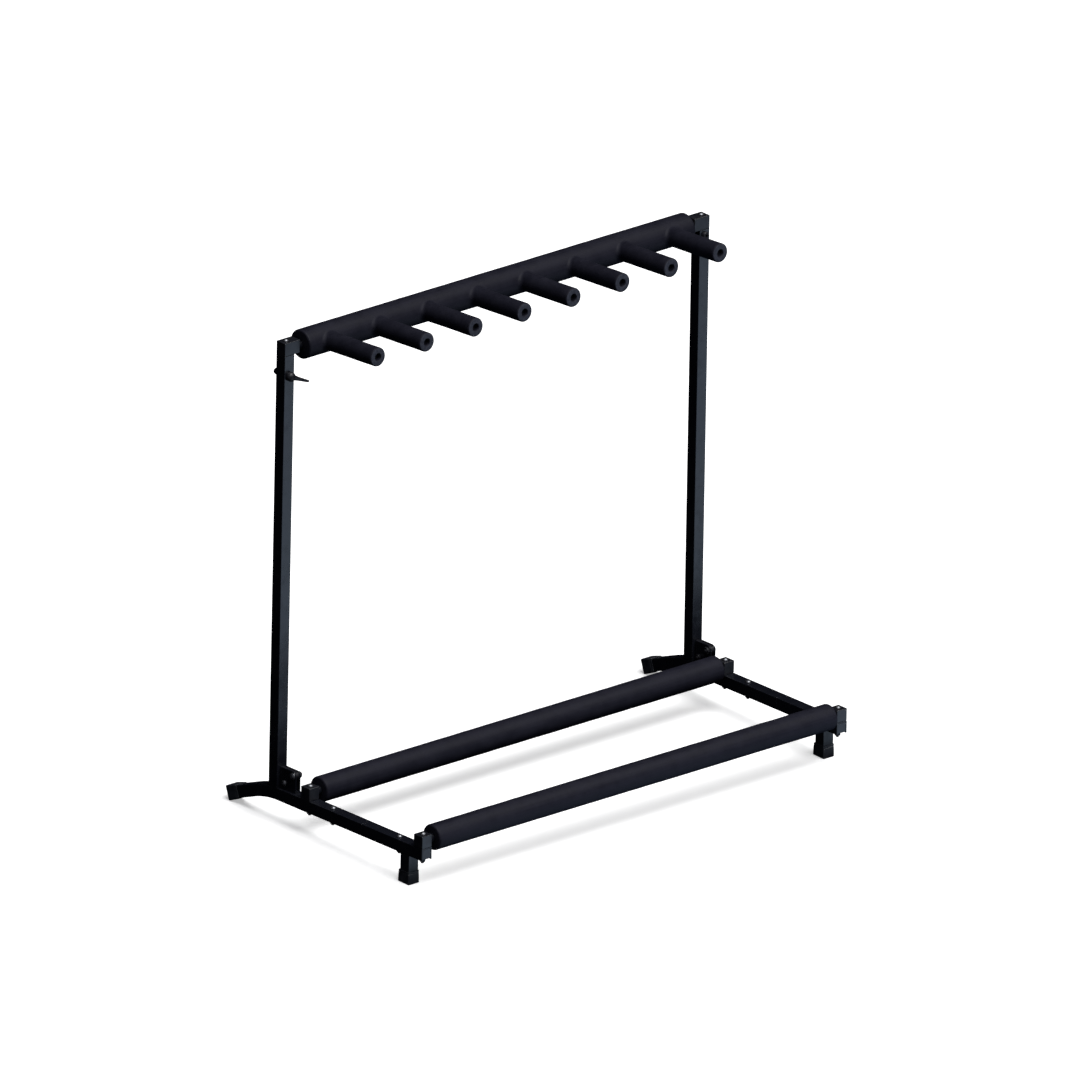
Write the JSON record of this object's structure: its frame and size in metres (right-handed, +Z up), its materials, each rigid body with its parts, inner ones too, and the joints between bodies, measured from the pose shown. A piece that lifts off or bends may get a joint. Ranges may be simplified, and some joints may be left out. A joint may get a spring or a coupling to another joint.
{
  "type": "guitar rack",
  "caption": "Folding floor rack for guitars: square-tube side frames, foam-padded base bars and a padded top bar with forward pegs that part the necks.",
  "frame": {"origin": "on the floor under the middle of the rack's bounding box", "axes": "+X from the rack's left upright to its right one as seen from the front, -Y to the front where the pegs point, +Z up"},
  "size_m": [0.8736, 0.4606, 0.7985],
  "materials": {
    "paint": "gloss black paint with a faint blue cast",
    "foam": "matt black closed-cell foam with a faint blue cast",
    "rubber": "satin black moulded rubber",
    "zinc": "bright zinc-plated steel",
    "dark_steel": "black oxide steel"
  },
  "bodies": {
    "base": {"rear_rail_left": "paint", "rear_rail_right": "paint", "front_rail_left": "paint", "front_rail_right": "paint", "rail_splice_left": "paint", "rail_splice_right": "paint", "rear_cap_left": "rubber", "rear_cap_right": "rubber", "front_foot_left": "paint", "front_foot_right": "paint", "boot_left": "rubber", "boot_right": "rubber", "bracket_left": "paint", "bracket_right": "paint", "pivot_bolt_left": "zinc", "pivot_bolt_right": "zinc", "stop_bolt_left": "zinc", "stop_bolt_right": "zinc", "rear_block_left": "paint", "rear_block_right": "paint", "front_block_left": "paint", "front_block_right": "paint", "rear_bar_bolt_left": "zinc", "rear_bar_bolt_right": "zinc", "front_bar_bolt_left": "zinc", "front_bar_bolt_right": "zinc", "rear_splice_bolt_left": "zinc", "rear_splice_bolt_right": "zinc", "front_splice_bolt_left": "zinc", "front_splice_bolt_right": "zinc", "rear_bar_core": "paint", "rear_bar_foam": "foam", "front_bar_core": "paint", "front_bar_foam": "foam"},
    "portal": {"upright_left": "paint", "upright_right": "paint", "tongue_left": "paint", "tongue_right": "paint", "clamp_nut": "dark_steel", "clamp_screw": "paint"},
    "clamp": {"clamp_lever": "dark_steel"},
    "top_bar": {"top_block_left": "paint", "top_block_right": "paint", "top_insert_left": "dark_steel", "top_insert_right": "dark_steel", "top_bolt_left": "zinc", "top_bolt_right": "zinc", "top_bar_core": "paint", "top_bar_foam": "foam", "peg_foam_1": "foam", "peg_foam_2": "foam", "peg_foam_3": "foam", "peg_foam_4": "foam", "peg_foam_5": "foam", "peg_foam_6": "foam", "peg_foam_7": "foam", "peg_foam_8": "foam"}
  },
  "joints": [
    {"name": "upright_fold", "type": "hinge", "parent": "base", "child": "portal", "pos_m": [0, 0.08565, 0.08443], "axis": [1, 0, 0], "range_deg": [0, 90]},
    {"name": "top_bar_lift", "type": "slide", "parent": "portal", "child": "top_bar", "axis": [0, 0.0366, 0.9993], "range_m": [0, 0.05]},
    {"name": "clamp_turn", "type": "hinge", "parent": "portal", "child": "clamp", "pos_m": [-0.4245, 0.14983, 0.72951], "axis": [0, -0.9993, 0.0366], "range_deg": [-150, 0]}
  ]
}
